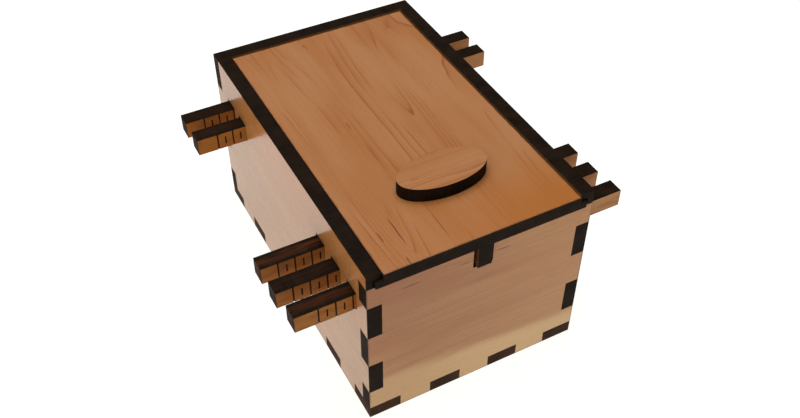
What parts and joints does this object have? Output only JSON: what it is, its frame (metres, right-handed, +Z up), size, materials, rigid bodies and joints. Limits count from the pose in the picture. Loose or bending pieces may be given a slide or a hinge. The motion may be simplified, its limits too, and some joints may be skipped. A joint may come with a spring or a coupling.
{
  "type": "wooden puzzle box",
  "caption": "Finger-jointed plywood puzzle box with a sliding lid, an oval grip and lock bars that slide through both side walls.",
  "frame": {"origin": "on the underside of the bottom panel, at its centre, where the box rests", "axes": "+X to the right across the front, +Y from the front wall to the back wall, +Z up"},
  "size_m": [0.1358, 0.1409, 0.0818],
  "materials": {
    "wall_ply": "sanded bare maple plywood with laser-charred cut edges",
    "lid_ply": "oiled maple plywood with laser-charred cut edges",
    "bar_ply": "bare maple plywood with charred edges and engraved ruler lines"
  },
  "bodies": {
    "box": {"bottom_panel": "wall_ply", "front_wall": "wall_ply", "back_wall": "wall_ply", "left_wall": "wall_ply", "right_wall": "wall_ply"},
    "lid": {"lid_panel": "lid_ply", "lid_grip": "lid_ply", "lid_rib_front": "lid_ply", "lid_rib_rear": "lid_ply"},
    "bar_1": {"lock_bar_1": "bar_ply"},
    "bar_2": {"lock_bar_2": "bar_ply"},
    "bar_3": {"lock_bar_3": "bar_ply"},
    "bar_4": {"lock_bar_4": "bar_ply"},
    "bar_5": {"lock_bar_5": "bar_ply"}
  },
  "joints": [
    {"name": "lid_slide", "type": "slide", "parent": "box", "child": "lid", "axis": [0, -1, 0], "range_m": [0, 0.14]},
    {"name": "bar_1_slide", "type": "slide", "parent": "box", "child": "bar_1", "axis": [1, 0, 0], "range_m": [-0.019, 0.0205]},
    {"name": "bar_2_slide", "type": "slide", "parent": "box", "child": "bar_2", "axis": [1, 0, 0], "range_m": [-0.0175, 0.0215]},
    {"name": "bar_3_slide", "type": "slide", "parent": "box", "child": "bar_3", "axis": [1, 0, 0], "range_m": [-0.0175, 0.022]},
    {"name": "bar_4_slide", "type": "slide", "parent": "box", "child": "bar_4", "axis": [1, 0, 0], "range_m": [-0.021, 0.0185]},
    {"name": "bar_5_slide", "type": "slide", "parent": "box", "child": "bar_5", "axis": [1, 0, 0], "range_m": [-0.021, 0.0185]}
  ]
}
